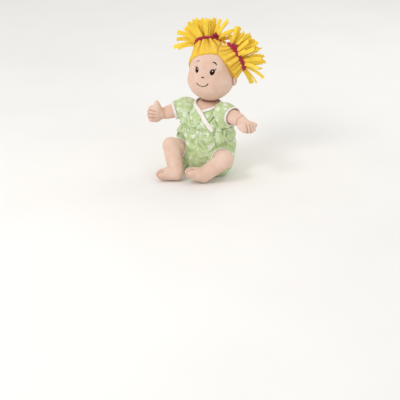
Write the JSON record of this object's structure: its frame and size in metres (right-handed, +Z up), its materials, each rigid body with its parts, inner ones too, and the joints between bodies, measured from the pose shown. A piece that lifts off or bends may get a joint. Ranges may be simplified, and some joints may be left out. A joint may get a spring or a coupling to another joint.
{
  "type": "interactive baby doll",
  "caption": "Soft cloth baby doll, sitting, with jointed limbs and head, felt-strip pigtails, a wrap romper and a press-to-talk sound module in its back pocket.",
  "frame": {"origin": "on the surface that the doll sits on, under the middle of its seat", "axes": "+Z up along the doll's height, -Y the way its body faces, +X to its left"},
  "size_m": [0.2324, 0.2078, 0.303],
  "materials": {
    "skin_velour": "short-pile velour",
    "hair_felt": "brushed felt, gathered",
    "strip_felt": "cut felt",
    "band_elastic": "covered elastic",
    "green_print": "printed cotton jersey",
    "white_trim": "folded binding",
    "hook_and_loop": "hook-and-loop tape",
    "case_plastic": "moulded",
    "button_plastic": "moulded",
    "board": "solder mask",
    "steel": "plated",
    "dark_plastic": "moulded"
  },
  "bodies": {
    "body": {"torso": "skin_velour", "pocket_flap": "skin_velour", "pocket_loop_strip": "hook_and_loop", "pocket_hook_strip": "hook_and_loop", "romper_bodice": "green_print", "romper_wrap_panel": "green_print", "wrap_binding_right": "white_trim", "wrap_binding_left": "white_trim", "waist_elastic_casing": "green_print", "romper_seat": "green_print", "module_case_front": "case_plastic", "module_case_back": "case_plastic", "button_spring": "steel", "circuit_board": "board", "tact_switch": "dark_plastic", "speaker": "dark_plastic", "button_cell_1": "steel", "button_cell_2": "steel", "button_cell_3": "steel", "battery_contact_negative": "steel", "battery_contact_positive": "steel", "battery_door": "case_plastic", "battery_door_screw": "steel"},
    "module_button": {"press_button": "button_plastic"},
    "module_switch": {"power_switch": "dark_plastic"},
    "neck": {"neck": "skin_velour"},
    "head": {"head": "skin_velour", "ear_left": "skin_velour", "ear_right": "skin_velour", "hair_cap_left": "hair_felt", "hair_cap_right": "hair_felt", "hair_tie_left": "band_elastic", "hair_tie_right": "band_elastic"},
    "arm_root_left": {"arm_seam_left": "white_trim"},
    "arm_left": {"arm_left": "skin_velour", "sleeve_left": "green_print", "sleeve_cuff_left": "white_trim"},
    "hand_left": {"hand_left": "skin_velour"},
    "leg_left": {"thigh_left": "skin_velour", "leg_seam_left": "white_trim", "shorts_leg_left": "green_print", "shorts_hem_left": "white_trim"},
    "lower_leg_left": {"lower_leg_left": "skin_velour"},
    "pigtail_left": {"pigtail_left": "strip_felt"},
    "arm_root_right": {"arm_seam_right": "white_trim"},
    "arm_right": {"arm_right": "skin_velour", "sleeve_right": "green_print", "sleeve_cuff_right": "white_trim"},
    "hand_right": {"hand_right": "skin_velour"},
    "leg_right": {"thigh_right": "skin_velour", "leg_seam_right": "white_trim", "shorts_leg_right": "green_print", "shorts_hem_right": "white_trim"},
    "lower_leg_right": {"lower_leg_right": "skin_velour"},
    "pigtail_right": {"pigtail_right": "strip_felt"}
  },
  "joints": [
    {"name": "button_press", "type": "slide", "parent": "body", "child": "module_button", "axis": [0, 1, 0], "range_m": [0, 0.0016], "stiffness_N_per_m": 600, "springref_m": -0.0012},
    {"name": "power_slide", "type": "slide", "parent": "body", "child": "module_switch", "axis": [0, 0, 1], "range_m": [0, 0.0016]},
    {"name": "neck_turn", "type": "hinge", "parent": "body", "child": "neck", "pos_m": [0.003, 0.024, 0.154], "axis": [0, 0, 1], "range_deg": [-35, 35]},
    {"name": "head_nod", "type": "hinge", "parent": "neck", "child": "head", "pos_m": [0.003, 0.024, 0.154], "axis": [0.9903, 0.1392, 0], "range_deg": [-12, 8]},
    {"name": "shoulder_swing_left", "type": "hinge", "parent": "body", "child": "arm_root_left", "pos_m": [0.041, 0.009, 0.127], "axis": [0, 0, -1], "range_deg": [-22, 22]},
    {"name": "shoulder_raise_left", "type": "hinge", "parent": "arm_root_left", "child": "arm_left", "pos_m": [0.041, 0.009, 0.127], "axis": [0, -1, 0], "range_deg": [-14, 40]},
    {"name": "wrist_bend_left", "type": "hinge", "parent": "arm_left", "child": "hand_left", "pos_m": [0.09, -0.012, 0.123], "axis": [0.329, 0.943, -0.0492], "range_deg": [-20, 20]},
    {"name": "hip_lift_left", "type": "hinge", "parent": "body", "child": "leg_left", "pos_m": [0.03, 0.002, 0.03], "axis": [-1, 0, 0], "range_deg": [-30, 12]},
    {"name": "knee_straighten_left", "type": "hinge", "parent": "leg_left", "child": "lower_leg_left", "pos_m": [0.07, -0.04, 0.048], "axis": [-0.5753, -0.2089, 0.7908], "range_deg": [0, 60]},
    {"name": "pigtail_flop_left", "type": "hinge", "parent": "head", "child": "pigtail_left", "pos_m": [0.04399, 0.05413, 0.23127], "axis": [0.5888, -0.8083, 0], "range_deg": [-14, 14]},
    {"name": "shoulder_swing_right", "type": "hinge", "parent": "body", "child": "arm_root_right", "pos_m": [-0.041, 0.009, 0.127], "axis": [0, 0, 1], "range_deg": [-22, 22]},
    {"name": "shoulder_raise_right", "type": "hinge", "parent": "arm_root_right", "child": "arm_right", "pos_m": [-0.041, 0.009, 0.127], "axis": [0, 1, 0], "range_deg": [-14, 40]},
    {"name": "wrist_bend_right", "type": "hinge", "parent": "arm_right", "child": "hand_right", "pos_m": [-0.084, -0.015, 0.112], "axis": [0.0785, 0.1967, 0.9773], "range_deg": [-20, 20]},
    {"name": "hip_lift_right", "type": "hinge", "parent": "body", "child": "leg_right", "pos_m": [-0.03, 0.002, 0.03], "axis": [-1, 0, 0], "range_deg": [-30, 12]},
    {"name": "knee_straighten_right", "type": "hinge", "parent": "leg_right", "child": "lower_leg_right", "pos_m": [-0.046, -0.05, 0.06], "axis": [-0.8597, -0.0297, -0.51], "range_deg": [0, 60]},
    {"name": "pigtail_flop_right", "type": "hinge", "parent": "head", "child": "pigtail_right", "pos_m": [-0.02005, 0.05304, 0.25079], "axis": [0.7591, 0.651, 0], "range_deg": [-14, 14]}
  ]
}
